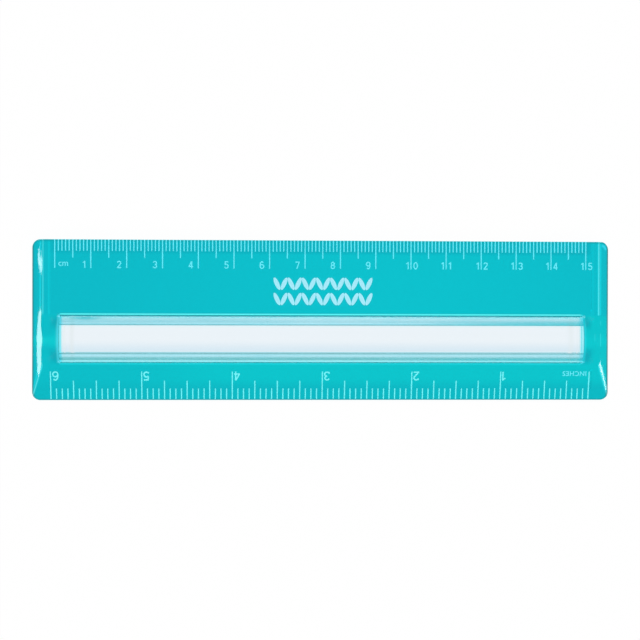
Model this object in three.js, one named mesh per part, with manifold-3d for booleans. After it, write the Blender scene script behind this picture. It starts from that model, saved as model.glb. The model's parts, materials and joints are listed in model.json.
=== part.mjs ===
// A magnifying ruler for needlework: a tinted ruler body, a clear bar lens let into a window in it,
// and centimetre and inch scales printed along its two long edges.
// Millimetres. X runs along the ruler, Y across it with the centimetre edge at +Y, Z up from the table.
import * as THREE from "three";
import { mergeVertices } from "three/addons/utils/BufferGeometryUtils.js";
import Module from "manifold-3d";

const wasm = await Module();
wasm.setup();

// Length: the centimetre scale and what is left beyond its two ends
const centimetres = 15;
const cmStartMargin = 6.5;
const cmEndMargin = 7;

// Width: the strip beside the centimetre edge, the lens, and the strip beside the inch edge
const cmStripWidth = 21.3;
const lensWidth = 13;
const inchStripWidth = 10.6;

// Body
const cornerRadius = 2.3;
const landHeight = 3.4; // the flat that carries the centimetre scale
const edgeHeight = 1.05; // the thin inch edge
const bevelRun = 3.2; // how far each bevelled end reaches along the ruler
const bevelFootHeight = 1.15;
const crownRise = 2.3; // how far the lens and the domed ends beside it stand above the land
const domeRounding = 1.5; // where each dome's slope turns over into the crown
const rimWidth = 0.35; // rounded rim round the window
const recessDepth = 0.3; // two shallow recesses, so that the ruler stands on a rim
const footRimWidth = 2.8; // the rim under each long edge
const endRimWidth = 4.8;
const windowWallThickness = 1.6;

// Lens seat
const lensClearance = 0.1;
const windowEndMargin = 7.8; // from each end of the ruler to the window
const windowCornerRadius = 0.6;
const ledgeThickness = 0.8; // the ledge under each long side of the lens
const ledgeWidth = 3.2;

// Print
const inkThickness = 0.05;
const lineWidth = 0.3;
const joiningLineWidth = 0.12; // the fine line along the edge that the graduations spring from

const cmScale = {
  unit: 10,
  divisions: 10,
  middleEvery: 5,
  edgeGap: 0,
  wholeMark: 8,
  middleMark: 5.1,
  fineMark: 3.2,
  numeralHeight: 2,
  numeralWidth: 1.25,
  numeralStroke: 0.32,
  numeralGap: 1.35, // from a graduation to the numeral on its left
  pairGap: 0.5, // from a graduation to each numeral of a pair that stands astride it
};
const inchScale = {
  unit: 25.4,
  divisions: 16,
  middleEvery: 4,
  edgeGap: 0.3,
  wholeMark: 8.1,
  middleMark: 5.5,
  fineMark: 3.3,
  numeralHeight: 2.5,
  numeralWidth: 1.75,
  numeralStroke: 0.38,
  numeralGap: 0.3,
  pairGap: 0.5,
  startMargin: 5.8,
  leastEndMargin: 4,
};

// Facets
const crownFacets = 28;
const cornerFacets = 6;
const domeFacets = 10;
const loopFacets = 16;

// Sizes that follow from the ones above
const windowWidth = lensWidth + 2 * lensClearance;
const rulerLength = cmStartMargin + centimetres * cmScale.unit + cmEndMargin;
const rulerWidth = cmStripWidth + windowWidth + inchStripWidth;
const endX = rulerLength / 2;
const edgeY = rulerWidth / 2;
const windowLength = rulerLength - 2 * windowEndMargin;
const lensLength = windowLength - 2 * lensClearance;
const lensY = edgeY - cmStripWidth - windowWidth / 2;
const ribHalfWidth = windowWidth / 2 + rimWidth;
const crownHeight = landHeight + crownRise;
const crownRadius = (ribHalfWidth ** 2 + crownRise ** 2) / (2 * crownRise);
const crownCentreHeight = crownHeight - crownRadius;
const slopeRun = edgeY + lensY - ribHalfWidth;
const slopeRise = (landHeight - edgeHeight) / slopeRun;

const alongX = new THREE.Matrix4().makeBasis(
  new THREE.Vector3(0, 1, 0),
  new THREE.Vector3(0, 0, 1),
  new THREE.Vector3(1, 0, 0),
);
const alongY = new THREE.Matrix4().makeBasis(
  new THREE.Vector3(1, 0, 0),
  new THREE.Vector3(0, 0, 1),
  new THREE.Vector3(0, -1, 0),
);

// A closed geometry as a solid that can be cut and joined
function solidFrom(geometry) {
  const bare = geometry.clone();
  bare.deleteAttribute("normal");
  bare.deleteAttribute("uv");
  const merged = mergeVertices(bare, 1e-5);
  return new wasm.Manifold(
    new wasm.Mesh({
      numProp: 3,
      vertProperties: merged.attributes.position.array,
      triVerts: new Uint32Array(merged.index.array),
    }),
  );
}

function geometryFrom(solid) {
  const { vertProperties, triVerts } = solid.getMesh();
  const geometry = new THREE.BufferGeometry();
  geometry.setAttribute("position", new THREE.BufferAttribute(vertProperties, 3));
  geometry.setIndex(new THREE.BufferAttribute(triVerts, 1));
  geometry.computeVertexNormals();
  return geometry;
}

function namedMesh(name, solid, material) {
  const mesh = new THREE.Mesh(geometryFrom(solid), material);
  mesh.name = name;
  return mesh;
}

function extrude(shape, depth, curveSegments = 1) {
  return new THREE.ExtrudeGeometry(shape, { depth, curveSegments, bevelEnabled: false });
}

// An outline drawn across the ruler, in Y and Z, run along a length centred on X = 0
function sectionSolid(shape, length, curveSegments) {
  const geometry = extrude(shape, length, curveSegments).translate(0, 0, -length / 2);
  return solidFrom(geometry.applyMatrix4(alongX));
}

// An outline of the long side, in X and Z, run across the width of the ruler
function sideSolid(shape, curveSegments) {
  const geometry = extrude(shape, rulerWidth, curveSegments).translate(0, 0, -rulerWidth / 2);
  return solidFrom(geometry.applyMatrix4(alongY));
}

function roundedRectangle(length, width, radius, centreY) {
  const x = length / 2;
  const y = width / 2;
  const shape = new THREE.Shape();
  shape.absarc(x - radius, centreY + y - radius, radius, 0, Math.PI / 2);
  shape.absarc(-x + radius, centreY + y - radius, radius, Math.PI / 2, Math.PI);
  shape.absarc(-x + radius, centreY - y + radius, radius, Math.PI, 1.5 * Math.PI);
  shape.absarc(x - radius, centreY - y + radius, radius, 1.5 * Math.PI, 2 * Math.PI);
  return shape;
}

// A block with rounded corners in plan, between two heights
function roundedBlock(length, width, radius, centreY, bottom, top) {
  const shape = roundedRectangle(length, width, radius, centreY);
  return solidFrom(extrude(shape, top - bottom, cornerFacets).translate(0, 0, bottom));
}

function block(minX, maxX, minY, maxY, bottom, top) {
  const geometry = new THREE.BoxGeometry(maxX - minX, maxY - minY, top - bottom);
  return solidFrom(geometry.translate((minX + maxX) / 2, (minY + maxY) / 2, (bottom + top) / 2));
}

// The crown's arc, from its +Y foot over the top to its -Y foot, a given half width either side
function addCrown(shape, halfWidth) {
  const footHeight = crownCentreHeight + Math.sqrt(crownRadius ** 2 - halfWidth ** 2);
  const start = Math.atan2(footHeight - crownCentreHeight, halfWidth);
  shape.lineTo(lensY + halfWidth, footHeight);
  shape.absarc(lensY, crownCentreHeight, crownRadius, start, Math.PI - start);
}

// The whole outside of the body, solid: the plan, the cross section and the long side, in common
function bodyOutside() {
  const plan = roundedBlock(rulerLength, rulerWidth, cornerRadius, 0, 0, crownHeight + 1);

  const section = new THREE.Shape();
  section.moveTo(edgeY, 0);
  section.lineTo(edgeY, landHeight);
  addCrown(section, ribHalfWidth);
  section.lineTo(-edgeY, edgeHeight);
  section.lineTo(-edgeY, 0);

  const creaseX = endX - bevelRun;
  const domeTopX = windowLength / 2;
  const domeRun = creaseX - domeTopX;
  const domeSlope = crownRise / (domeRun - domeRounding / 2);
  const turnHeight = crownHeight - (domeSlope * domeRounding) / 2;
  const side = new THREE.Shape();
  side.moveTo(-endX, 0);
  side.lineTo(endX, 0);
  side.lineTo(endX, bevelFootHeight);
  side.lineTo(creaseX, landHeight);
  side.lineTo(domeTopX + domeRounding, turnHeight);
  side.quadraticCurveTo(domeTopX + domeRounding / 2, crownHeight, domeTopX, crownHeight);
  side.lineTo(-domeTopX, crownHeight);
  side.quadraticCurveTo(-domeTopX - domeRounding / 2, crownHeight, -domeTopX - domeRounding, turnHeight);
  side.lineTo(-creaseX, landHeight);
  side.lineTo(-endX, bevelFootHeight);

  return plan
    .intersect(sectionSolid(section, rulerLength, crownFacets))
    .intersect(sideSolid(side, domeFacets));
}

// A long recess in the underside of each strip
function undersideRecesses() {
  const recessX = endX - endRimWidth;
  const recessY = edgeY - footRimWidth;
  const wallY = windowWidth / 2 + windowWallThickness;
  return block(-recessX, recessX, lensY + wallY, recessY, -1, recessDepth).add(
    block(-recessX, recessX, -recessY, lensY - wallY, -1, recessDepth),
  );
}

function bodySolid() {
  const pocket = roundedBlock(
    windowLength, windowWidth, windowCornerRadius, lensY, ledgeThickness, crownHeight + 1,
  );
  const slotX = windowLength / 2;
  const slotY = windowWidth / 2 - ledgeWidth;
  const slot = block(-slotX, slotX, lensY - slotY, lensY + slotY, -1, ledgeThickness + 1);
  return bodyOutside().subtract(undersideRecesses()).subtract(pocket).subtract(slot);
}

// The lens: flat underneath, with its crown on the same arc as the domed ends of the body
function lensSolid() {
  const radius = windowCornerRadius - lensClearance;
  const plan = roundedBlock(lensLength, lensWidth, radius, lensY, ledgeThickness, crownHeight + 1);
  const section = new THREE.Shape();
  section.moveTo(lensY - lensWidth / 2, ledgeThickness);
  section.lineTo(lensY + lensWidth / 2, ledgeThickness);
  addCrown(section, lensWidth / 2);
  return plan.intersect(sectionSolid(section, lensLength, crownFacets));
}

// Points on an arc or a full loop, angles in degrees
function arc(x, y, radiusX, radiusY, from, to) {
  const steps = Math.max(3, Math.ceil((Math.abs(to - from) / 360) * loopFacets));
  return Array.from({ length: steps + 1 }, (_, i) => {
    const angle = THREE.MathUtils.degToRad(from + ((to - from) * i) / steps);
    return [x + radiusX * Math.cos(angle), y + radiusY * Math.sin(angle)];
  });
}

// Centre lines of the numerals, in a cell one unit wide and one high.
// A stroke that ends where it starts is a closed loop.
const numeralStrokes = {
  0: [arc(0.5, 0.5, 0.4, 0.44, 0, 360)],
  1: [[[0.55, 1], [0.55, 0]], [[0.15, 0.74], [0.6, 0.96]]],
  2: [[...arc(0.5, 0.72, 0.38, 0.22, 165, -35), [0.1, 0.03]], [[0.04, 0.06], [0.95, 0.06]]],
  3: [arc(0.47, 0.725, 0.35, 0.215, 160, -90), arc(0.47, 0.285, 0.4, 0.225, 90, -160)],
  4: [[[0.72, 1], [0.72, 0]], [[0.67, 0.94], [0.12, 0.27]], [[0.04, 0.27], [1, 0.27]]],
  5: [[[0.9, 0.94], [0.24, 0.94], [0.17, 0.52]], arc(0.47, 0.33, 0.4, 0.27, 138, -155)],
  6: [arc(0.5, 0.31, 0.4, 0.27, 0, 360), arc(0.5, 0.5, 0.4, 0.46, 190, 45)],
  7: [[[0.05, 0.94], [0.95, 0.94]], [[0.88, 0.96], [0.33, 0]]],
  8: [arc(0.5, 0.73, 0.32, 0.21, 0, 360), arc(0.5, 0.29, 0.4, 0.23, 0, 360)],
  9: [arc(0.5, 0.69, 0.4, 0.27, 0, 360), arc(0.5, 0.5, 0.4, 0.46, 10, -135)],
};

// Points a distance to the left of a path, mitred at its corners
function offsetPath(points, distance, closed) {
  const count = points.length;
  const leaving = (i) => {
    const [from, to] = [points[(i + count) % count], points[(i + 1 + count) % count]];
    return new THREE.Vector2(to[0] - from[0], to[1] - from[1]).normalize();
  };
  return points.map(([x, y], i) => {
    const before = leaving(closed || i > 0 ? i - 1 : i);
    const after = leaving(closed || i < count - 1 ? i : i - 1);
    const bisector = before.clone().add(after).normalize();
    const stretch = distance / bisector.dot(before);
    return new THREE.Vector2(x - bisector.y * stretch, y + bisector.x * stretch);
  });
}

// One stroke of a numeral as an outline of even width
function strokeShape(points, width) {
  const [first, last] = [points[0], points[points.length - 1]];
  const closed = Math.hypot(first[0] - last[0], first[1] - last[1]) < 1e-6;
  const path = closed ? points.slice(0, -1) : points;
  const left = offsetPath(path, width / 2, closed);
  const right = offsetPath(path, -width / 2, closed);
  if (!closed) return new THREE.Shape([...left, ...right.reverse()]);
  const shape = new THREE.Shape(right);
  shape.holes.push(new THREE.Path(left));
  return shape;
}

// A numeral that stands on Y = 0, with its ink starting at X = 0
function numeralSolid(digit, scale) {
  const strokes = numeralStrokes[digit].map((points) => {
    const scaled = points.map(([x, y]) => [x * scale.numeralWidth, y * scale.numeralHeight]);
    return solidFrom(extrude(strokeShape(scaled, scale.numeralStroke), inkThickness));
  });
  const numeral = strokes.reduce((whole, stroke) => whole.add(stroke));
  return numeral.translate([-numeral.boundingBox().min[0], 0, 0]);
}

function markLength(scale, index) {
  if (index % scale.divisions === 0) return scale.wholeMark;
  return index % scale.middleEvery === 0 ? scale.middleMark : scale.fineMark;
}

// The graduations of one scale, joined by the fine line along the edge; X = 0 is the scale's zero
function graduationSolid(scale, units) {
  const half = lineWidth / 2;
  const count = units * scale.divisions;
  const shape = new THREE.Shape();
  shape.moveTo(-half, 0);
  for (let i = 0; i <= count; i++) {
    const x = (i * scale.unit) / scale.divisions;
    const length = markLength(scale, i) - scale.edgeGap;
    if (i > 0) shape.lineTo(x - half, -joiningLineWidth);
    shape.lineTo(x - half, -length);
    shape.lineTo(x + half, -length);
    if (i < count) shape.lineTo(x + half, -joiningLineWidth);
  }
  shape.lineTo(units * scale.unit + half, 0);
  return solidFrom(extrude(shape, inkThickness));
}

// One printed scale, read from left to right with its edge away from the reader.
// The print lies on a surface that rises by `rise` for each millimetre in from the edge.
function printedScale(name, scale, units, startX, edgeSurface, rise, material) {
  const group = new THREE.Group();
  const lay = (solid, x, y) => {
    const tilt = new THREE.Matrix4().set(
      1, 0, 0, startX + x,
      0, 1, 0, edgeY + y,
      0, -rise, 1, edgeSurface - rise * y,
      0, 0, 0, 1,
    );
    return solidFrom(geometryFrom(solid).applyMatrix4(tilt));
  };
  const graduations = graduationSolid(scale, units);
  group.add(namedMesh(`${name}_graduations`, lay(graduations, 0, -scale.edgeGap), material));

  for (let value = 1; value <= units; value++) {
    const digits = String(value).split("");
    const pair = digits.length > 1;
    digits.forEach((digit, place) => {
      const numeral = numeralSolid(digit, scale);
      const gap = lineWidth / 2 + (pair ? scale.pairGap : scale.numeralGap);
      const besideMark = place ? gap : -gap - numeral.boundingBox().max[0];
      const ink = lay(numeral, value * scale.unit + besideMark, -scale.wholeMark);
      const suffix = pair ? ["_tens", "_ones"][place] : "";
      group.add(namedMesh(`${name}_numeral_${value}${suffix}`, ink, material));
    });
  }
  return group;
}

const bodyMaterial = new THREE.MeshStandardMaterial({
  color: "#0dbbc9", roughness: 0.12, metalness: 0, transparent: true, opacity: 0.75,
});
const lensMaterial = new THREE.MeshStandardMaterial({
  color: "#e8f3f8", roughness: 0.04, metalness: 0, transparent: true, opacity: 0.35,
});
const inkMaterial = new THREE.MeshStandardMaterial({ color: "#ace6f4", roughness: 0.5, metalness: 0 });

const ruler = new THREE.Group();
ruler.add(namedMesh("ruler_body", bodySolid(), bodyMaterial));
ruler.add(namedMesh("lens", lensSolid(), lensMaterial));
ruler.add(printedScale("cm", cmScale, centimetres, cmStartMargin - endX, landHeight, 0, inkMaterial));

const inchRoom = rulerLength - inchScale.startMargin - inchScale.leastEndMargin;
const inches = Math.floor(inchRoom / inchScale.unit);
const inchSide = printedScale(
  "inch", inchScale, inches, inchScale.startMargin - endX, edgeHeight, slopeRise, inkMaterial,
);
inchSide.rotation.z = Math.PI;
ruler.add(inchSide);

export default ruler;
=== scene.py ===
# A magnifying ruler in tinted plastic with a clear bar lens, lying on a pale floor
import json
import math

import bmesh
import bpy
from mathutils import Euler, Matrix, Quaternion, Vector

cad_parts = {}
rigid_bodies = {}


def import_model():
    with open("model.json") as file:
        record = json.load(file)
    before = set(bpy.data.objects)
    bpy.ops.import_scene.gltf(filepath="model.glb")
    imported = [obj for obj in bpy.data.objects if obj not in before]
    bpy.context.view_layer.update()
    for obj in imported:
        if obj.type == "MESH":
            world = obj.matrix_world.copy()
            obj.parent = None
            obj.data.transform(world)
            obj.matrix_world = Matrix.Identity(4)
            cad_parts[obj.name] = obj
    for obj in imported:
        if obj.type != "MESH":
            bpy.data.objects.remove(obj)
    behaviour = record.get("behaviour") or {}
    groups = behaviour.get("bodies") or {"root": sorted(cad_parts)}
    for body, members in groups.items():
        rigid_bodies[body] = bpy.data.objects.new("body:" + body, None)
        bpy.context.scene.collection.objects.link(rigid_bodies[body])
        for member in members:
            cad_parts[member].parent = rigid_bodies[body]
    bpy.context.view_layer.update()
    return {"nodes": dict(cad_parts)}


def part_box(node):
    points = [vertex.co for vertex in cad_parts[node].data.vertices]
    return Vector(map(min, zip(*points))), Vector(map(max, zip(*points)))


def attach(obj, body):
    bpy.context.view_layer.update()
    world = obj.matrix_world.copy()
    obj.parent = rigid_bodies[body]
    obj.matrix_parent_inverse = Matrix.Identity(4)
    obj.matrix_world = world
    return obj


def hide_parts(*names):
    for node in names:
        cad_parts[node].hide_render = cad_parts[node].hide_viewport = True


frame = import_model()

# Pieces are modelled in millimetres and brought to metres when they are finished
metre = 1000
nearby = 0.01  # places this near to each other count as one
rimTurn = 40  # an edge that turns by more than this, in degrees, is a rim, and is rounded
sharpTurn = 33  # and where it turns by more than this, the shading is sharp
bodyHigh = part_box("ruler_body")[1] * metre
lensLow, lensHigh = (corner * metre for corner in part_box("lens"))

body = {
    "cornerRadius": 2.3,
    "cornerSegments": 12,
    "landHeight": 3.4,
    "edgeHeight": 1.05,
    "bevelRun": 3.2,
    "bevelFootHeight": 1.15,
    "bevelFullness": 0.11,  # how much the end bevels swell, from 0, flat
    "bevelStations": 6,
    "creaseFillet": 0.2,
    "creaseTurn": 12,  # how much the diagonal creases turn by at least, in degrees
    # These fillets and corners are a radius and its segments
    "diagonalFillet": (0.08, 2),
    "edgeFillet": (0.18, 3),
    "footFillet": (0.08, 2),
    "windowFillet": (0.12, 3),
    "windowCorner": (0.6, 5),
    "slotCorner": (0.05, 1),
    "recessCorner": (0.6, 4),
    "windowRim": 0.35,
    "ledgeWidth": 3.2,
    "recessDepth": 0.3,
    "footRim": 2.8,
    "endRim": 4.8,
    "windowWall": 1.6,
    "domeRounding": 1.5,  # where each dome's slope turns over into the crown
    "domeStations": 10,
    "crownStations": 26,
    "topFacing": 0.5,  # a face belongs to the top where its normal rises by more than this
    "snap": 0.06,  # a cut passes through corners this near to it, rather than beside them
    "cutterReach": 1,  # how far the cutters stand out of the body
    "weld": 0.001,
}
lens = {
    "clearance": 0.1,
    "corner": (0.5, 5),
    "fillet": (0.12, 3),
    "circleSegments": 720,
    "leastRise": 1,  # an edge is rounded where it is taller, or reaches higher, than this
    "snap": 0.00001,
}

endX = bodyHigh.x
edgeY = bodyHigh.y
lensY = (lensLow.y + lensHigh.y) / 2
lensHalfWidth = lensHigh.y - lensY
windowX = lensHigh.x + lens["clearance"]
windowHalfWidth = lensHalfWidth + lens["clearance"]
slotY = windowHalfWidth - body["ledgeWidth"]
ledgeTop = lensLow.z
ribHalfWidth = windowHalfWidth + body["windowRim"]
crownRise = bodyHigh.z - body["landHeight"]
crownRadius = (ribHalfWidth ** 2 + crownRise ** 2) / (2 * crownRise)
crownCentre = bodyHigh.z - crownRadius
creaseX = endX - body["bevelRun"]
slopeStartY = lensY - ribHalfWidth
slopeRise = (body["landHeight"] - body["edgeHeight"]) / (slopeStartY + edgeY)
bevelSlope = (body["landHeight"] - body["bevelFootHeight"]) / body["bevelRun"]
bevelSteepness = bevelSlope * (1 - body["bevelFullness"])


def vertsOf(result):
    return [part for part in result["geom"] if isinstance(part, bmesh.types.BMVert)]


def bevelEdges(bm, edges, offset, segments):
    bmesh.ops.bevel(
        bm, geom=edges, affect="EDGES", offset=offset, offset_type="OFFSET", segments=segments,
        profile=0.5, material=-1, clamp_overlap=False, loop_slide=True,
    )


def roundedBlock(low, high, radius, segments):
    bm = bmesh.new()
    middle = (Vector(low) + Vector(high)) / 2
    size = Vector(high) - Vector(low)
    place = Matrix.Translation(middle) @ Matrix.Diagonal((*size, 1))
    bmesh.ops.create_cube(bm, size=1, matrix=place)
    upright = [edge for edge in bm.edges if abs(edge.verts[0].co.z - edge.verts[1].co.z) > size.z / 2]
    bevelEdges(bm, upright, radius, segments)
    return bm


def newMesh(name, bm):
    mesh = bpy.data.meshes.new(name)
    bm.to_mesh(mesh)
    bm.free()
    return mesh


def newPiece(name, bm, material, replaced=()):
    bmesh.ops.scale(bm, vec=(1 / metre,) * 3, verts=bm.verts)
    bmesh.ops.recalc_face_normals(bm, faces=bm.faces)
    mesh = newMesh(name, bm)
    mesh.shade_smooth()
    mesh.set_sharp_from_angle(angle=math.radians(sharpTurn))
    mesh.materials.append(material)
    piece = bpy.data.objects.new(name, mesh)
    bpy.context.scene.collection.objects.link(piece)
    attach(piece, "root")
    if replaced:
        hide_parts(*replaced)
    return piece


def shadeEvenly(piece):
    weighted = piece.modifiers.new("evenShading", "WEIGHTED_NORMAL")
    weighted.keep_sharp = True


def turned(edge, least):
    return len(edge.link_faces) == 2 and edge.calc_face_angle() > math.radians(least)


def middleOf(edge):
    return (edge.verts[0].co + edge.verts[1].co) / 2


def cutAway(whole, cutters):
    objects = []
    for bm in (whole, *cutters):
        bmesh.ops.recalc_face_normals(bm, faces=bm.faces)
        shape = bpy.data.objects.new("shape", newMesh("shape", bm))
        bpy.context.scene.collection.objects.link(shape)
        objects.append(shape)
    for cutter in objects[1:]:
        boolean = objects[0].modifiers.new("cut", "BOOLEAN")
        boolean.operation = "DIFFERENCE"
        boolean.solver = "EXACT"
        boolean.object = cutter
    bpy.context.view_layer.update()
    finished = objects[0].evaluated_get(bpy.context.evaluated_depsgraph_get())
    result = bmesh.new()
    result.from_mesh(finished.to_mesh())
    finished.to_mesh_clear()
    for shape in objects:
        mesh = shape.data
        bpy.data.objects.remove(shape)
        bpy.data.meshes.remove(mesh)
    return result


# The body

# How far the end bevel lies below the land: its face alone, and with the crease rounded
def bevelDrop(beyond):
    drop = body["landHeight"] - body["bevelFootHeight"]
    swell = body["bevelFullness"] * drop * (max(beyond, 0) / body["bevelRun"]) ** 2
    return bevelSteepness * beyond + swell


def endDrop(x):
    beyond = abs(x) - creaseX
    fillet = body["creaseFillet"]
    if beyond < -fillet:
        return 0
    if beyond < fillet:
        rounding = bevelSteepness * (fillet - abs(beyond)) ** 2 / (4 * fillet)
        return max(bevelDrop(beyond), 0) + rounding
    return bevelDrop(beyond)


def slopeDrop(y):
    return max(slopeStartY - y, 0) * slopeRise


def crownLift(x, y):
    across = abs(y - lensY)
    if across >= ribHalfWidth:
        return 0
    run = creaseX - windowX
    turn = body["domeRounding"]
    along = max(abs(x) - windowX, 0)
    fallen = along ** 2 / (2 * turn) if along < turn else along - turn / 2
    arc = crownCentre + math.sqrt(crownRadius ** 2 - across ** 2) - body["landHeight"]
    return arc * (1 - fallen / (run - turn / 2))


def topHeight(x, y):
    if y < slopeStartY:
        return body["landHeight"] - max(endDrop(x), slopeDrop(y))
    lift = crownLift(x, y)
    bevel = -bevelDrop(abs(x) - creaseX)
    blend = bevelSteepness * body["creaseFillet"]
    rounding = max(blend - abs(lift - bevel), 0) ** 2 / (4 * blend)
    return body["landHeight"] + min(lift, bevel) - rounding


def cutSheet(bm, start, end, faces=None):
    faces = bm.faces[:] if faces is None else faces
    edges = dict.fromkeys(edge for face in faces for edge in face.edges)
    verts = dict.fromkeys(vert for face in faces for vert in face.verts)
    normal = Vector((end[1] - start[1], start[0] - end[0], 0)).normalized()
    bmesh.ops.bisect_plane(
        bm, geom=[*verts, *edges, *faces], plane_co=(*start, 0), plane_no=normal, dist=body["snap"],
    )


def evenSteps(start, end, count):
    return [start + (end - start) * i / count for i in range(1, count + 1)]


# The diagonal creases, where each end bevel meets the slope
def cutDiagonals(bm, stations):
    for near, far in zip(stations, stations[1:]):
        nearY, farY = (slopeStartY - endDrop(x) / slopeRise for x in (near, far))
        for side in (-1, 1):
            strip = [
                face for face in bm.faces
                if near < side * face.calc_center_median().x < far
                and face.calc_center_median().y < slopeStartY
            ]
            cutSheet(bm, (side * near, nearY), (side * far, farY), strip)


# The body's outline as a flat sheet, cut wherever the top bends
def planSheet():
    bm = bmesh.new()
    plan = Matrix.Diagonal((endX, edgeY, 1, 1))
    bmesh.ops.create_grid(bm, x_segments=1, y_segments=1, size=1, matrix=plan)
    bmesh.ops.bevel(
        bm, geom=bm.verts[:], affect="VERTICES", offset=body["cornerRadius"], offset_type="OFFSET",
        segments=body["cornerSegments"], profile=0.5, material=-1,
    )
    fillet = body["creaseFillet"]
    creaseStations = [creaseX + fillet * step for step in (-1, -0.5, 0, 0.5, 1)]
    bevelStations = evenSteps(creaseX + fillet, endX, body["bevelStations"])
    domeStations = evenSteps(windowX, creaseX - fillet, body["domeStations"])[:-1]
    for x in [windowX, *domeStations, *creaseStations, *bevelStations[:-1]]:
        for side in (-1, 1):
            cutSheet(bm, (side * x, 0), (side * x, 1))
    crownWidth = 2 * ribHalfWidth
    for i in range(body["crownStations"] + 1):
        y = slopeStartY + crownWidth * i / body["crownStations"]
        cutSheet(bm, (0, y), (1, y))
    cutDiagonals(bm, [*creaseStations, *bevelStations])
    return bm


def facesUp(face):
    return face.normal.z > body["topFacing"]


def onDiagonal(edge):
    middle = middleOf(edge)
    onEnd = abs(middle.x) > creaseX + body["creaseFillet"]
    onSlope = middle.y < slopeStartY - body["creaseFillet"]
    return onEnd and onSlope and all(facesUp(face) for face in edge.link_faces)


def bodyOutside():
    bm = planSheet()
    for vert in bm.verts:
        vert.co.z = topHeight(vert.co.x, vert.co.y)
    lowered = bmesh.ops.extrude_face_region(bm, geom=bm.faces[:])
    for vert in vertsOf(lowered):
        vert.co.z = 0
    bmesh.ops.recalc_face_normals(bm, faces=bm.faces)

    diagonals = [edge for edge in bm.edges if turned(edge, body["creaseTurn"]) and onDiagonal(edge)]
    bevelEdges(bm, diagonals, *body["diagonalFillet"])
    rim = [
        edge for edge in bm.edges
        if turned(edge, rimTurn) and any(facesUp(face) for face in edge.link_faces)
    ]
    bevelEdges(bm, rim, *body["edgeFillet"])
    foot = [
        edge for edge in bm.edges
        if turned(edge, rimTurn) and max(vert.co.z for vert in edge.verts) < nearby
    ]
    bevelEdges(bm, foot, *body["footFillet"])
    return bm


def bodyCutters():
    bottom = -body["cutterReach"]
    top = bodyHigh.z + body["cutterReach"]
    window = roundedBlock(
        (-windowX, lensY - windowHalfWidth, ledgeTop), (windowX, lensY + windowHalfWidth, top),
        *body["windowCorner"],
    )
    slot = roundedBlock(
        (-windowX, lensY - slotY, bottom), (windowX, lensY + slotY, top), *body["slotCorner"],
    )
    recessX = endX - body["endRim"]
    recessY = edgeY - body["footRim"]
    wallY = windowHalfWidth + body["windowWall"]
    recesses = [
        roundedBlock(
            (-recessX, low, bottom), (recessX, high, body["recessDepth"]), *body["recessCorner"],
        )
        for low, high in ((lensY + wallY, recessY), (-recessY, lensY - wallY))
    ]
    return [window, slot, *recesses]


def onWindowRim(edge):
    middle = middleOf(edge)
    across = abs(middle.y - lensY)
    inside = across < windowHalfWidth + nearby and abs(middle.x) < windowX + nearby
    straight = min(windowHalfWidth - across, windowX - abs(middle.x)) < nearby
    return inside and straight and min(vert.co.z for vert in edge.verts) >= body["landHeight"] / 2


def buildBody(material):
    bm = cutAway(bodyOutside(), bodyCutters())
    bmesh.ops.remove_doubles(bm, verts=bm.verts, dist=body["weld"])
    bmesh.ops.recalc_face_normals(bm, faces=bm.faces)
    rim = [edge for edge in bm.edges if turned(edge, rimTurn) and onWindowRim(edge)]
    bevelEdges(bm, rim, *body["windowFillet"])
    piece = newPiece("bodyMoulding", bm, material, ["ruler_body"])
    shadeEvenly(piece)
    print("body:", len(piece.data.polygons), "faces")


# The lens

def buildLens(material):
    bm = bmesh.new()
    place = Matrix.Translation((0, lensY, crownCentre)) @ Matrix.Rotation(math.pi / 2, 4, "Y")
    bmesh.ops.create_circle(
        bm, cap_ends=True, radius=crownRadius, segments=lens["circleSegments"], matrix=place,
    )
    sides = [
        ((0, lensY + lensHalfWidth, 0), (0, 1, 0)),
        ((0, lensY - lensHalfWidth, 0), (0, -1, 0)),
        ((0, 0, lensLow.z), (0, 0, -1)),
    ]
    for point, outward in sides:
        bmesh.ops.bisect_plane(
            bm, geom=[*bm.verts, *bm.edges, *bm.faces], plane_co=point, plane_no=outward,
            dist=lens["snap"], clear_outer=True,
        )
    bmesh.ops.translate(bm, vec=(lensLow.x, 0, 0), verts=bm.verts)
    extruded = bmesh.ops.extrude_face_region(bm, geom=bm.faces[:])
    bmesh.ops.translate(bm, vec=(lensHigh.x - lensLow.x, 0, 0), verts=vertsOf(extruded))
    bmesh.ops.recalc_face_normals(bm, faces=bm.faces)
    upright = [
        edge for edge in bm.edges
        if abs(edge.verts[0].co.z - edge.verts[1].co.z) > lens["leastRise"]
    ]
    bevelEdges(bm, upright, *lens["corner"])
    rim = [
        edge for edge in bm.edges
        if turned(edge, rimTurn) and max(v.co.z for v in edge.verts) > lensLow.z + lens["leastRise"]
    ]
    bevelEdges(bm, rim, *lens["fillet"])
    piece = newPiece("lensBar", bm, material, ["lens"])
    shadeEvenly(piece)
    print("lens:", len(piece.data.polygons), "faces")


# The print

ink = {"thickness": 0.03, "lineWidth": 0.3, "wordBoldness": 0.03, "weld": 0.0001}
# side is 1 for the scale along the +Y edge, and -1 for the one that is turned about along the other
cmScale = {
    "side": 1, "units": 15, "unit": 10, "divisions": 10, "middleEvery": 5, "gap": 0,
    "whole": 8, "middle": 5.1, "fine": 3.2, "startMargin": 6.5,
}
inchScale = {
    "side": -1, "units": 6, "unit": 25.4, "divisions": 16, "middleEvery": 4, "gap": 0.3,
    "whole": 8.1, "middle": 5.5, "fine": 3.3, "startMargin": 5.8,
}
# Where each unit word starts: how far past the scale's zero, and how far in from the edge
cmWord = {"text": "cm", "height": 2.35, "spacing": 1, "pastZero": 0.97, "fromEdge": 7.4}
inchWord = {"text": "INCHES", "height": 1.9, "spacing": 1.1, "pastZero": 0.7, "fromEdge": 8.2}


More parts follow.
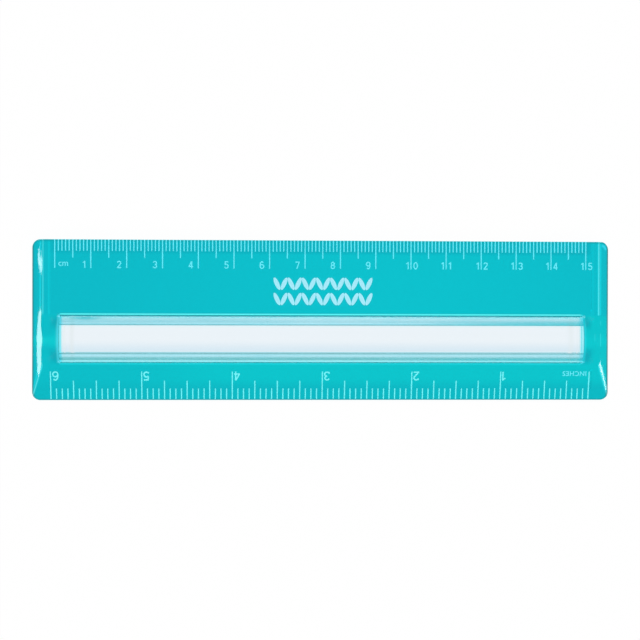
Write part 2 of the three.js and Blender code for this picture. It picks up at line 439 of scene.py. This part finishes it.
def layOnTop(bm):
    for vert in bm.verts:
        vert.co.z += topHeight(vert.co.x, vert.co.y)


def addBar(bm, low, high):
    size = (high[0] - low[0], high[1] - low[1], ink["thickness"])
    middle = ((low[0] + high[0]) / 2, (low[1] + high[1]) / 2, ink["thickness"] / 2)
    bmesh.ops.create_cube(bm, size=1, matrix=Matrix.Translation(middle) @ Matrix.Diagonal((*size, 1)))


def buildGraduations(name, scale, material, replaced):
    bm = bmesh.new()
    side = scale["side"]
    half = ink["lineWidth"] / 2
    for i in range(scale["units"] * scale["divisions"] + 1):
        length = scale["fine"]
        if i % scale["middleEvery"] == 0:
            length = scale["middle"]
        if i % scale["divisions"] == 0:
            length = scale["whole"]
        x = side * (scale["startMargin"] - endX + i * scale["unit"] / scale["divisions"])
        ends = sorted((side * (edgeY - scale["gap"]), side * (edgeY - length)))
        addBar(bm, (x - half, ends[0]), (x + half, ends[1]))
    layOnTop(bm)
    newPiece(name, bm, material, [replaced])


def textMesh(word):
    curve = bpy.data.curves.new("lettering", "FONT")
    curve.body = word["text"]
    curve.size = word["height"]
    curve.space_character = word["spacing"]
    curve.offset = ink["wordBoldness"]
    curve.extrude = ink["thickness"] / 2
    lettering = bpy.data.objects.new("lettering", curve)
    bpy.context.scene.collection.objects.link(lettering)
    bpy.context.view_layer.update()
    evaluated = lettering.evaluated_get(bpy.context.evaluated_depsgraph_get())
    bm = bmesh.new()
    bm.from_mesh(evaluated.to_mesh())
    evaluated.to_mesh_clear()
    bpy.data.objects.remove(lettering)
    bpy.data.curves.remove(curve)
    return bm


def buildWord(name, word, scale, material):
    side = scale["side"]
    start = (scale["startMargin"] - endX + word["pastZero"], edgeY - word["fromEdge"])
    bm = textMesh(word)
    bmesh.ops.remove_doubles(bm, verts=bm.verts, dist=ink["weld"])
    bmesh.ops.translate(bm, vec=(0, 0, ink["thickness"] / 2), verts=bm.verts)
    if side < 0:
        bmesh.ops.rotate(bm, cent=(0, 0, 0), matrix=Matrix.Rotation(math.pi, 3, "Z"), verts=bm.verts)
    bmesh.ops.translate(bm, vec=(side * start[0], side * start[1], 0), verts=bm.verts)
    layOnTop(bm)
    newPiece(name, bm, material)


# A plain knitted motif in the middle of the land
motif = {
    "centre": (-0.16, 8.18), "columns": 7, "rows": 2, "stitchWidth": 4, "rowHeight": 4.3,
    "leafWidth": 0.62, "leafLength": 1.9, "leafAngle": 25, "leafSegments": 24,
}


def buildMotif(material):
    bm = bmesh.new()
    width = motif["stitchWidth"]
    for column in range(motif["columns"]):
        x = motif["centre"][0] + (column - (motif["columns"] - 1) / 2) * width
        for row in range(motif["rows"]):
            y = motif["centre"][1] + (row - (motif["rows"] - 1) / 2) * motif["rowHeight"]
            for side in (-1, 1):
                place = Matrix.Translation((x + side * width / 4, y, 0))
                place @= Matrix.Rotation(math.radians(-side * motif["leafAngle"]), 4, "Z")
                place @= Matrix.Diagonal((motif["leafWidth"], motif["leafLength"], 1, 1))
                bmesh.ops.create_circle(
                    bm, cap_ends=True, radius=1, segments=motif["leafSegments"], matrix=place,
                )
    raised = bmesh.ops.extrude_face_region(bm, geom=bm.faces[:])
    bmesh.ops.translate(bm, vec=(0, 0, ink["thickness"]), verts=vertsOf(raised))
    layOnTop(bm)
    newPiece("knitMotif", bm, material)


# Materials

surfaceReach = 0.02  # a height this near to a ledge counts as on it

# A layer of colour is laid over the ones before it. A line is a place and how far the colour reaches
# from it, a fade is where the colour starts and where it is full, between is two sharp limits, within
# names the areas that it keeps to, and share is how much of it is laid
tintedLook = {
    "deep": (0.001, 0.507, 0.60, 1), "light": (0.0015, 0.532, 0.618, 1),
    "shade": (0.35, 0.83, 0.88, 1), "roughness": (0.02, 0.06), "ior": 1.49,
    "cloudScale": 25, "streakScale": 300,
    "cornerBlend": 0.08,  # how soon the arc starts in a rounded corner
    "belowShift": 0.38,  # how much further out the creases show again through the underside
    "belowStretch": 1.08,  # and how much steeper the diagonals among them run
}
# Painted highlights: white for the creases and the glints, and a paler tint where the creases show again
# through the underside
paintedHighlight = (1, 1, 1, 1)
creaseBelowHighlight = (0.019, 0.88, 0.98, 1)
bodyLayers = {
    "middle": {"colour": (0.001, 0.562, 0.641, 1), "lines": [("signedAlong", 20, 95)]},
    "lensSide": {
        "colour": (0.001, 0.585, 0.632, 1), "fades": [("across", ribHalfWidth, windowHalfWidth)],
    },
    "lowLeft": {
        "colour": (0.001, 0.54, 0.61, 1),
        "fades": [("across", ribHalfWidth, windowHalfWidth), ("signedAlong", -25, -60)],
    },
    "cmEdge": {
        "colour": (0.001, 0.47, 0.56, 1), "fades": [("across", 23.6, 24.8), ("along", 77.5, 75.5)],
    },
    "inchEdge": {"colour": (0.001, 0.51, 0.58, 1), "fades": [("across", -10.5, -14.2)]},
    # Painted light and shade on the domes: lighter along their middle, where they gather the light, and
    # painted shade at their sides and beside the window's ends
    "domeFocusedLight": {
        "colour": (0.001, 0.62, 0.665, 1), "lines": [("across", -0.5, 2.5)], "within": ["onDome"],
    },
    "domeShade": {
        "colour": (0.001, 0.49, 0.57, 1), "within": ["onDome"],
        "fades": [("across", -1.5, -3.5), ("across", -7.5, -6), ("along", creaseX, windowX)],
    },
    "windowShade": {
        "colour": (0.001, 0.43, 0.51, 1), "within": ["onDome"],
        "lines": [("fromAxis", 4.5, 2.6)], "fades": [("along", 77, 75)],
    },
    # Painted light: a paler line over the end walls of the recesses underneath
    "recessWallLight": {
        "colour": (0.002, 0.62, 0.70, 1), "within": ["onLand"],
        "lines": [("along", endX - body["endRim"], 0.45)],
    },
    # Painted highlights: the crease highlights seen again through the underside
    "creaseBelow": {
        "colour": creaseBelowHighlight, "within": ["onLand", "lowDown"], "lines": [("beyondBelow", 0, 0.5)],
    },
    "diagonalBelow": {
        "colour": creaseBelowHighlight, "within": ["pastBelow", "lowDown"],
        "lines": [("fromDiagonalBelow", 0, 1.7)],
    },
    # Painted highlight: a bright arc on the rounded edge of the +X, +Y corner
    "cornerHighlight": {
        "colour": (0.035, 0.72, 0.90, 1), "within": ["atCorner", "rightHalf", "onLand"],
        "lines": [("inside", 1.05, 0.65)],
    },
    # Painted shade: a dark line just inside the outline, darker still at the ends
    "edgeShade": {"colour": (0.004, 0.42, 0.47, 1), "lines": [("inside", 0.26, 0.42)]},
    "outline": {"colour": (0.04, 0.18, 0.18, 1), "lines": [("along", endX, 0.85)]},
    # Painted highlights: white lines along the end creases and the diagonal creases, where their
    # rounding would catch the light
    "crease": {
        "colour": paintedHighlight, "within": ["onLand", "onTop"], "lines": [("beyondCrease", 0, 0.24)],
    },
    "diagonal": {
        "colour": paintedHighlight, "within": ["pastCrease", "onTop"], "lines": [("fromDiagonal", 0, 0.8)],
    },
}
# Painted reflections: fine white lines on the +X end, where it mirrors something bright: along, low and
# high across, share
glints = [(79.2, -1.9, 1.75, 0.9), (79.2, 4.15, 5.4, 0.55), (77.3, -0.35, 1.75, 0.45)]
glintReach = 0.2
glintLayers = [
    {
        "colour": paintedHighlight, "within": ["onTop"], "share": share,
        "lines": [("signedAlong", place, glintReach)], "between": [("across", low, high)],
    }
    for place, low, high, share in glints
]
# Fine lines along the window, by the distance from the middle of the lens, with their reach: the lines
# at 7.02 and -6.85 are painted highlights on the window's rims, and the dark ones at 6.62 and -6.52 the
# gap around the lens
rimLines = [
    (7.02, 0.28, (0.15, 1, 1, 1)), (6.62, 0.28, (0.006, 0.20, 0.25, 1)),
    (-6.52, 0.26, (0.004, 0.28, 0.35, 1)), (-6.85, 0.3, (0.014, 0.72, 0.78, 1)),
]
rimLayers = [
    {"colour": colour, "within": ["besideWindow"], "lines": [("across", place, reach)]}
    for place, reach, colour in rimLines
]
# Painted light: a paler glow along the window's ends
windowEndLight = {
    "colour": (0.16, 0.78, 0.92, 1), "within": ["withinWidth"], "lines": [("along", windowX, 0.9)],
}
# The ledges under the lens, by the distance from its middle: paler where the plastic is thin, with
# painted highlights and shade in their bright and dark bands
ledgeBands = [
    (-6.1, (0.01, 0.40, 0.46, 1)), (-5.85, (0.26, 0.96, 1, 1)), (-5.4, (0.38, 0.98, 1, 1)),
    (-5.1, (0.13, 0.56, 0.58, 1)), (-4.65, (0.17, 0.60, 0.62, 1)), (-4.2, (0.46, 0.86, 0.92, 1)),
    (-3.85, (0.54, 0.91, 0.98, 1)), (-3.5, (0.18, 0.50, 0.54, 1)),
    (3.5, (0.18, 0.50, 0.58, 1)), (3.8, (0.53, 0.93, 1, 1)), (4.3, (0.40, 0.78, 0.86, 1)),
    (5.1, (0.55, 0.90, 0.95, 1)), (5.5, (0.33, 0.97, 1, 1)), (5.75, (0.06, 0.56, 0.62, 1)),
    (6.15, (0.02, 0.42, 0.47, 1)),
]
ledgeStreaks = {"cloudScale": 60, "streakScale": 900, "limits": (0.5, 0.7)}
ledgeShade = (0.03, 0.62, 0.68, 1)
ledgeLayers = {
    "darkSpot": {
        "colour": ledgeShade, "within": ["onLedge"], "share": 0.95,
        "lines": [("signedAlong", -67, 7), ("across", 5.2, 0.75)],
    },
    "streaks": {"colour": (0.30, 0.78, 0.86, 1), "within": ["onLedge", "streaked"], "share": 0.6},
}
# Bands of the ledges that darken along the ruler: from, to, place and reach across, share
ledgeFades = [
    (10, 66, 3.8, 1.1, 0.8), (10, 66, 5, 1.2, 0.15), (10, 66, -5.08, 0.6, 0.85),
    (0, -30, 4.8, 2.5, 0.2),
]
fadeLayers = [
    {
        "colour": ledgeShade, "within": ["onLedge"], "share": share,
        "fades": [("signedAlong", start, end)], "lines": [("across", place, reach)],
    }
    for start, end, place, reach, share in ledgeFades
]
clearLook = {
    "plain": (0.86, 0.93, 0.98, 1), "cloud": (0.875, 0.935, 0.975, 1),
    "shade": (0.97, 0.985, 1, 1), "roughness": (0.01, 0.03), "ior": 1.49,
    "cloudScale": 30, "streakScale": 400,
    "slotLineInset": 0.14,
}
greyColour = (0.78, 0.85, 0.87, 1)
lensLayers = {
    # Painted shade: the lens darkens towards its -Y side, inside the slot
    "lowSideShade": {
        "colour": (0.71, 0.85, 0.94, 1), "within": ["insideSlot"], "fades": [("across", 0, -slotY)],
    },
    # Painted light: a pale line underneath, along the slot's edges
    "slotEdgeLight": {
        "colour": (0.70, 0.98, 1, 1), "within": ["underneath"], "lines": [("fromAxis", slotY, 0.8)],
    },
    "slotLine": {
        "colour": (0.06, 0.46, 0.58, 1), "within": ["underneath"],
        "lines": [("across", clearLook["slotLineInset"] - slotY, 0.22)],
    },
    "edge": {"colour": (0.004, 0.30, 0.36, 1), "lines": [("fromAxis", lensHalfWidth, 0.36)]},
    # Painted reflection: the tinted body, seen in the lens's ends
    "end": {"colour": (0.10, 0.84, 0.95, 1), "lines": [("along", lensHigh.x, 0.88)]},
    "greyLine": {"colour": greyColour, "lines": [("along", windowX - 1.45, 0.3)], "share": 0.5},
    "greyBand": {"colour": greyColour, "lines": [("along", windowX - 3.5, 1.1)], "share": 0.5},
}
inkLook = {
    "plain": (0.145, 0.87, 1, 1), "thin": (0.13, 0.84, 0.97, 1), "roughness": (0.4, 0.6),
    "cloudScale": 900, "streakScale": 2500, "bumpStrength": 0.2, "bumpHeight": 0.00002,
}
brightInkLook = {**inkLook, "plain": (0.20, 0.97, 1, 1), "thin": (0.17, 0.94, 1, 1)}
paleInkLook = {**inkLook, "plain": (0.41, 0.87, 1, 1), "thin": (0.38, 0.84, 0.98, 1)}


def addNode(tree, kind, values=(), **settings):
    node = tree.nodes.new(kind)
    for setting, value in settings.items():
        setattr(node, setting, value)
    for socket, value in dict(values).items():
        node.inputs[socket].default_value = value
    return node


def fillSocket(tree, socket, value):
    if isinstance(value, bpy.types.NodeSocket):
        tree.links.new(value, socket)
    else:
        socket.default_value = value


def addMath(tree, operation, *values):
    node = addNode(tree, "ShaderNodeMath", operation=operation)
    for socket, value in zip(node.inputs, values):
        fillSocket(tree, socket, value)
    return node.outputs[0]


# 0 up to the start, 1 from the end on
def fade(tree, value, start, end):
    node = addNode(tree, "ShaderNodeMapRange", interpolation_type="SMOOTHSTEP")
    node.inputs["From Min"].default_value = min(start, end)
    node.inputs["From Max"].default_value = max(start, end)
    node.inputs["To Min"].default_value = float(start > end)
    node.inputs["To Max"].default_value = float(start < end)
    tree.links.new(value, node.inputs["Value"])
    return node.outputs["Result"]


# 1 on a line, fading to 0 at its reach
def softLine(tree, value, centre, reach):
    away = addMath(tree, "ABSOLUTE", addMath(tree, "SUBTRACT", value, centre))
    return fade(tree, away, reach, 0)


def allOf(tree, *masks):
    whole = masks[0]
    for mask in masks[1:]:
        whole = addMath(tree, "MULTIPLY", whole, mask)
    return whole


def below(tree, value, limit):
    return addMath(tree, "LESS_THAN", value, limit)


def above(tree, value, limit):
    return addMath(tree, "GREATER_THAN", value, limit)


# The place along the ruler, the place across it from the middle of the lens, and the height,
# all in millimetres
def placeOnRuler(tree):
    place = addNode(tree, "ShaderNodeTexCoord")
    parts = addNode(tree, "ShaderNodeSeparateXYZ")
    tree.links.new(place.outputs["Object"], parts.inputs["Vector"])
    x, y, z = (addMath(tree, "MULTIPLY", parts.outputs[axis], metre) for axis in "XYZ")
    return x, addMath(tree, "SUBTRACT", y, lensY), z


# Slow clouding of the moulded plastic, and fine streaks along the ruler
def plasticVariation():
    group = bpy.data.node_groups.new("plasticVariation", "ShaderNodeTree")
    group.interface.new_socket("Cloud Scale", in_out="INPUT", socket_type="NodeSocketFloat")
    group.interface.new_socket("Streak Scale", in_out="INPUT", socket_type="NodeSocketFloat")
    group.interface.new_socket("Cloud", in_out="OUTPUT", socket_type="NodeSocketFloat")
    group.interface.new_socket("Streak", in_out="OUTPUT", socket_type="NodeSocketFloat")
    given = addNode(group, "NodeGroupInput")
    out = addNode(group, "NodeGroupOutput")
    place = addNode(group, "ShaderNodeTexCoord")
    stretch = addNode(group, "ShaderNodeMapping", {"Scale": (0.08, 1, 1)})
    cloud = addNode(group, "ShaderNodeTexNoise", {"Detail": 2, "Roughness": 0.5})
    streak = addNode(group, "ShaderNodeTexNoise", {"Detail": 3, "Roughness": 0.6})
    group.links.new(place.outputs["Object"], cloud.inputs["Vector"])
    group.links.new(given.outputs["Cloud Scale"], cloud.inputs["Scale"])
    group.links.new(place.outputs["Object"], stretch.inputs["Vector"])
    group.links.new(stretch.outputs["Vector"], streak.inputs["Vector"])
    group.links.new(given.outputs["Streak Scale"], streak.inputs["Scale"])
    group.links.new(cloud.outputs["Fac"], out.inputs["Cloud"])
    group.links.new(streak.outputs["Fac"], out.inputs["Streak"])
    return group


def newMaterial(name):
    material = bpy.data.materials.new(name)
    material.use_nodes = True
    return material, material.node_tree, material.node_tree.nodes["Principled BSDF"]


def addVariation(tree, group, look):
    node = addNode(tree, "ShaderNodeGroup", node_tree=group)
    node.inputs["Cloud Scale"].default_value = look["cloudScale"]
    node.inputs["Streak Scale"].default_value = look["streakScale"]
    return node


def mixColours(tree, factor, first, second):
    mix = addNode(tree, "ShaderNodeMix", data_type="RGBA")
    tree.links.new(factor, mix.inputs["Factor"])
    for name, colour in (("A", first), ("B", second)):
        fillSocket(tree, next(i for i in mix.inputs if i.name == name and i.type == "RGBA"), colour)
    return next(o for o in mix.outputs if o.type == "RGBA")


def setRoughness(tree, shader, factor, limits):
    spread = addNode(tree, "ShaderNodeMapRange", {"To Min": limits[0], "To Max": limits[1]})
    tree.links.new(factor, spread.inputs["Value"])
    tree.links.new(spread.outputs["Result"], shader.inputs["Roughness"])


def setBump(tree, shader, height, strength, distance):
    bump = addNode(tree, "ShaderNodeBump", {"Strength": strength, "Distance": distance})
    tree.links.new(height, bump.inputs["Height"])
    tree.links.new(bump.outputs["Normal"], shader.inputs["Normal"])


# 1 for a ray of any of these kinds
def raysOf(tree, *kinds):
    path = addNode(tree, "ShaderNodeLightPath")
    found = path.outputs[f"Is {kinds[0]} Ray"]
    for kind in kinds[1:]:
        found = addMath(tree, "MAXIMUM", found, path.outputs[f"Is {kind} Ray"])
    return found


def mixShaders(tree, factor, first, second):
    mix = addNode(tree, "ShaderNodeMixShader")
    tree.links.new(factor, mix.inputs["Fac"])
    tree.links.new(first.outputs[0], mix.inputs[1])
    tree.links.new(second.outputs[0], mix.inputs[2])
    tree.links.new(mix.outputs["Shader"], tree.nodes["Material Output"].inputs["Surface"])


# Light reaches the floor straight through the plastic, with a little of its tint
def letLightThrough(tree, shader, shade):
    through = addNode(tree, "ShaderNodeBsdfTransparent", {"Color": shade})
    mixShaders(tree, raysOf(tree, "Shadow", "Diffuse"), shader, through)


def finishPlastic(tree, shader, variation, colour, look):
    tree.links.new(colour, shader.inputs["Base Color"])
    shader.inputs["IOR"].default_value = look["ior"]
    shader.inputs["Transmission Weight"].default_value = 1
    setRoughness(tree, shader, variation.outputs["Streak"], look["roughness"])
    letLightThrough(tree, shader, look["shade"])


# at holds the places and the areas that the layers name
def addLayers(tree, at, colour, layers):
    for layer in layers:
        masks = [softLine(tree, at[name], place, reach) for name, place, reach in layer.get("lines", ())]
        masks += [fade(tree, at[name], start, end) for name, start, end in layer.get("fades", ())]
        for name, low, high in layer.get("between", ()):
            masks += [above(tree, at[name], low), below(tree, at[name], high)]
        masks += [at[name] for name in layer.get("within", ())]
        if "share" in layer:
            masks.append(layer["share"])
        colour = mixColours(tree, allOf(tree, *masks), colour, layer["colour"])
    return colour


# How far across the ruler the diagonal crease is, where the end bevel meets the slope
def diagonalCrease(tree, beyondCrease):
    part = addMath(tree, "DIVIDE", beyondCrease, body["bevelRun"])
    swell = addMath(tree, "MULTIPLY_ADD", part, body["bevelFullness"], 1 - body["bevelFullness"])
    fall = bevelSlope * body["bevelRun"] / slopeRise
    return addMath(tree, "MULTIPLY_ADD", allOf(tree, part, swell), -fall, slopeStartY - lensY)


# How far inside the outline a place is, and whether it is in one of the rounded corners
def insideOutline(tree, along, across):
    radius = body["cornerRadius"]
    aside = addMath(tree, "ABSOLUTE", addMath(tree, "ADD", across, lensY))
    pastX = addMath(tree, "MAXIMUM", addMath(tree, "SUBTRACT", along, endX - radius), 0)
    pastY = addMath(tree, "MAXIMUM", addMath(tree, "SUBTRACT", aside, edgeY - radius), 0)
    squares = addMath(tree, "ADD", allOf(tree, pastX, pastX), allOf(tree, pastY, pastY))
    inside = addMath(tree, "SUBTRACT", radius, addMath(tree, "SQRT", squares))
    return inside, fade(tree, allOf(tree, pastX, pastY), 0, tintedLook["cornerBlend"])


def ledgeColour(tree, across):
    node = addNode(tree, "ShaderNodeValToRGB")
    ramp = node.color_ramp
    for i, (place, colour) in enumerate(ledgeBands):
        position = place / (2 * windowHalfWidth) + 0.5
        element = ramp.elements.new(position) if i else ramp.elements[0]
        element.position = position
        element.color = colour
    ramp.elements.remove(ramp.elements[-1])
    position = addMath(tree, "MULTIPLY_ADD", across, 1 / (2 * windowHalfWidth), 0.5)
    tree.links.new(position, node.inputs["Fac"])
    return node.outputs["Color"]


def placesOnBody(tree):
    signedAlong, across, height = placeOnRuler(tree)
    along = addMath(tree, "ABSOLUTE", signedAlong)
    fromAxis = addMath(tree, "ABSOLUTE", across)
    beyondCrease = addMath(tree, "SUBTRACT", along, creaseX)
    stretch, shift = tintedLook["belowStretch"], tintedLook["belowShift"]
    beyondBelow = addMath(tree, "MULTIPLY_ADD", beyondCrease, stretch, -shift)
    inside, atCorner = insideOutline(tree, along, across)
    besideWindow = below(tree, along, windowX)
    withinWidth = below(tree, fromAxis, windowHalfWidth)
    return {
        "signedAlong": signedAlong, "along": along, "across": across, "fromAxis": fromAxis,
        "beyondCrease": beyondCrease, "beyondBelow": beyondBelow, "inside": inside,
        "fromDiagonal": addMath(tree, "SUBTRACT", across, diagonalCrease(tree, beyondCrease)),
        "fromDiagonalBelow": addMath(tree, "SUBTRACT", across, diagonalCrease(tree, beyondBelow)),
        "pastCrease": above(tree, beyondCrease, 0), "pastBelow": above(tree, beyondBelow, 0),
        "onTop": above(tree, height, body["edgeHeight"]),
        "lowDown": below(tree, height, body["bevelFootHeight"]),
        "onLand": above(tree, across, ribHalfWidth), "onDome": above(tree, along, windowX),
        "atCorner": atCorner, "rightHalf": above(tree, signedAlong, 0),
        "besideWindow": besideWindow, "withinWidth": withinWidth,
        "onLedge": allOf(tree, besideWindow, withinWidth, below(tree, height, ledgeTop + surfaceReach)),
    }


# The tint changes slowly over the body. Painted highlights make it white along its creases, where they
# would gather the light, and painted light and shade lie over the domes, along the window and along the
# outline
def tintedPlastic(group):
    material, tree, shader = newMaterial("tintedPlastic")
    variation = addVariation(tree, group, tintedLook)
    streaks = addVariation(tree, group, ledgeStreaks)
    at = placesOnBody(tree)
    at["streaked"] = fade(tree, streaks.outputs["Streak"], *ledgeStreaks["limits"])
    colour = mixColours(tree, variation.outputs["Cloud"], tintedLook["deep"], tintedLook["light"])
    colour = addLayers(tree, at, colour, [*bodyLayers.values(), *glintLayers, *rimLayers, windowEndLight])
    colour = mixColours(tree, at["onLedge"], colour, ledgeColour(tree, at["across"]))
    colour = addLayers(tree, at, colour, [*ledgeLayers.values(), *fadeLayers])
    finishPlastic(tree, shader, variation, colour, tintedLook)
    return material


def clearPlastic(group):
    material, tree, shader = newMaterial("clearPlastic")
    variation = addVariation(tree, group, clearLook)
    signedAlong, across, height = placeOnRuler(tree)
    at = {
        "along": addMath(tree, "ABSOLUTE", signedAlong), "across": across,
        "fromAxis": addMath(tree, "ABSOLUTE", across), "insideSlot": above(tree, across, -slotY),
        "underneath": below(tree, height, ledgeTop + surfaceReach),
    }
    colour = mixColours(tree, variation.outputs["Cloud"], clearLook["plain"], clearLook["cloud"])
    colour = addLayers(tree, at, colour, lensLayers.values())
    finishPlastic(tree, shader, variation, colour, clearLook)
    return material


def printedInk(name, group, look):
    material, tree, shader = newMaterial(name)
    variation = addVariation(tree, group, look)
    colour = mixColours(tree, variation.outputs["Cloud"], look["plain"], look["thin"])
    tree.links.new(colour, shader.inputs["Base Color"])
    setRoughness(tree, shader, variation.outputs["Streak"], look["roughness"])
    setBump(tree, shader, variation.outputs["Cloud"], look["bumpStrength"], look["bumpHeight"])
    return material


group = plasticVariation()
bodyPlastic = tintedPlastic(group)
lensPlastic = clearPlastic(group)
plainInk = printedInk("printedInk", group, inkLook)
brightInk = printedInk("brightInk", group, brightInkLook)
paleInk = printedInk("paleInk", group, paleInkLook)
print("materials made")

buildBody(bodyPlastic)
buildLens(lensPlastic)
buildGraduations("cmGraduations", cmScale, plainInk, "cm_graduations")
buildGraduations("inchGraduations", inchScale, brightInk, "inch_graduations")
buildWord("cmWord", cmWord, cmScale, plainInk)
buildWord("inchWord", inchWord, inchScale, plainInk)
buildMotif(paleInk)
for name, node in frame["nodes"].items():
    if "_numeral_" in name:
        node.data.materials.clear()
        node.data.materials.append(brightInk if name.startswith("inch") else plainInk)
print("print made")


# The floor, the light and the camera

# The floor lies a hair under the ruler, so that they don't share a plane, and ownLight is the share of
# plain white that is seen in it
floor = {"size": 6, "depth": 0.00005, "colour": (0.95, 0.95, 0.95, 1), "ownLight": 0.97}


def buildFloor():
    bm = bmesh.new()
    bmesh.ops.create_grid(bm, x_segments=1, y_segments=1, size=floor["size"] / 2)
    bmesh.ops.translate(bm, vec=(0, 0, -floor["depth"]), verts=bm.verts)
    material, tree, shader = newMaterial("paleFloor")
    tree.nodes.remove(shader)
    lit = addNode(tree, "ShaderNodeBsdfDiffuse", {"Color": floor["colour"]})
    white = addNode(tree, "ShaderNodeEmission", {"Color": (1, 1, 1, 1), "Strength": 1})
    seen = raysOf(tree, "Camera", "Transmission", "Glossy")
    mixShaders(tree, addMath(tree, "MULTIPLY", seen, floor["ownLight"]), lit, white)
    mesh = newMesh("floor", bm)
    mesh.materials.append(material)
    made = bpy.data.objects.new("floor", mesh)
    bpy.context.scene.collection.objects.link(made)


# A lamp's lean turns it about the line towards its target
def addLamp(name, lamp, target, mirrored=True):
    light = bpy.data.lights.new(name, "AREA")
    light.shape = lamp.get("shape", "RECTANGLE")
    light.size, light.size_y = lamp["size"]
    light.energy = lamp["power"]
    made = bpy.data.objects.new(name, light)
    made.location = lamp["place"]
    aim = (Vector(target) - Vector(lamp["place"])).to_track_quat("-Z", "Y")
    lean = Quaternion((0, 0, 1), math.radians(lamp.get("lean", 0)))
    made.rotation_euler = (aim @ lean).to_euler()
    made.visible_camera = False
    made.visible_glossy = mirrored
    bpy.context.scene.collection.objects.link(made)


softboxes = {"reach": 0.5, "height": 0.55, "size": (0.35, 0.35), "power": 2.95}
sideStrips = {
    "far": {"place": (0.06, 0.92, 0.40), "size": (0.6, 0.10), "power": 0.45},
    "near": {"place": (0.06, -0.92, 0.40), "size": (0.6, 0.10), "power": 0.2},
}
# Small lamps near the table, that the end bevels mirror as streaks: sizes across and up
endLamps = {
    "tall": {"place": (-1.03, -0.0287, 0.28), "size": (0.0686, 0.134), "shape": "ELLIPSE"},
    "shortLow": {"place": (-1.03, 0.0472, 0.312), "size": (0.0142, 0.110), "shape": "ELLIPSE"},
    "shortHigh": {"place": (-1.03, 0.0525, 0.247), "size": (0.0134, 0.042), "shape": "ELLIPSE"},
    "wedgeTop": {"place": (1.08, -0.0508, 0.209), "size": (0.0202, 0.062), "shape": "RECTANGLE"},
    "wedge": {
        "place": (1.08, -0.0637, 0.117), "size": (0.019, 0.136), "shape": "RECTANGLE", "lean": -11,
    },
}
endLampPower = 31.3  # for each square metre
endLampInward = 3.2  # how many times nearer to the middle line a lamp's target is than the lamp
worldLight = 0.09

buildFloor()
for sideX in (-1, 1):
    for sideY in (-1, 1):
        place = (sideX * softboxes["reach"], sideY * softboxes["reach"], softboxes["height"])
        addLamp("softbox", {**softboxes, "place": place}, (0, 0, 0), mirrored=False)
for name, lamp in sideStrips.items():
    addLamp(name, lamp, (lamp["place"][0], 0, 0))
for name, lamp in endLamps.items():
    end = math.copysign(endX - body["bevelRun"] / 2, lamp["place"][0]) / metre
    power = endLampPower * lamp["size"][0] * lamp["size"][1]
    if lamp["shape"] == "ELLIPSE":
        power *= math.pi / 4
    addLamp(name, {**lamp, "power": power}, (end, lamp["place"][1] / endLampInward, 0))

# The room is white to the camera and through the plastic, and dim as a light
world = bpy.data.worlds.new("room")
bpy.context.scene.world = world
world.use_nodes = True
room = world.node_tree
dim = (worldLight, worldLight, worldLight, 1)
roomColour = mixColours(room, raysOf(room, "Camera", "Transmission"), dim, (1, 1, 1, 1))
room.links.new(roomColour, room.nodes["Background"].inputs["Color"])

# In metres, but for the turn in degrees and the lens and the sensor in millimetres
view = {
    "distance": 0.45, "turn": (0.206, 3.284, -0.126), "aside": (0.00079886, -0.00012222),
    "lens": 89.069, "sensor": 36, "nearest": 0.01,
}
camera = bpy.data.objects.new("camera", bpy.data.cameras.new("camera"))
camera.data.sensor_width = view["sensor"]
camera.data.lens = view["lens"]
camera.data.clip_start = view["nearest"]
turn = Euler([math.radians(angle) for angle in view["turn"]]).to_matrix().transposed().to_4x4()
camera.matrix_world = turn @ Matrix.Translation((-view["aside"][0], -view["aside"][1], view["distance"]))
bpy.context.scene.collection.objects.link(camera)
bpy.context.scene.camera = camera
bpy.context.scene.view_settings.view_transform = "Standard"
print("stage made")
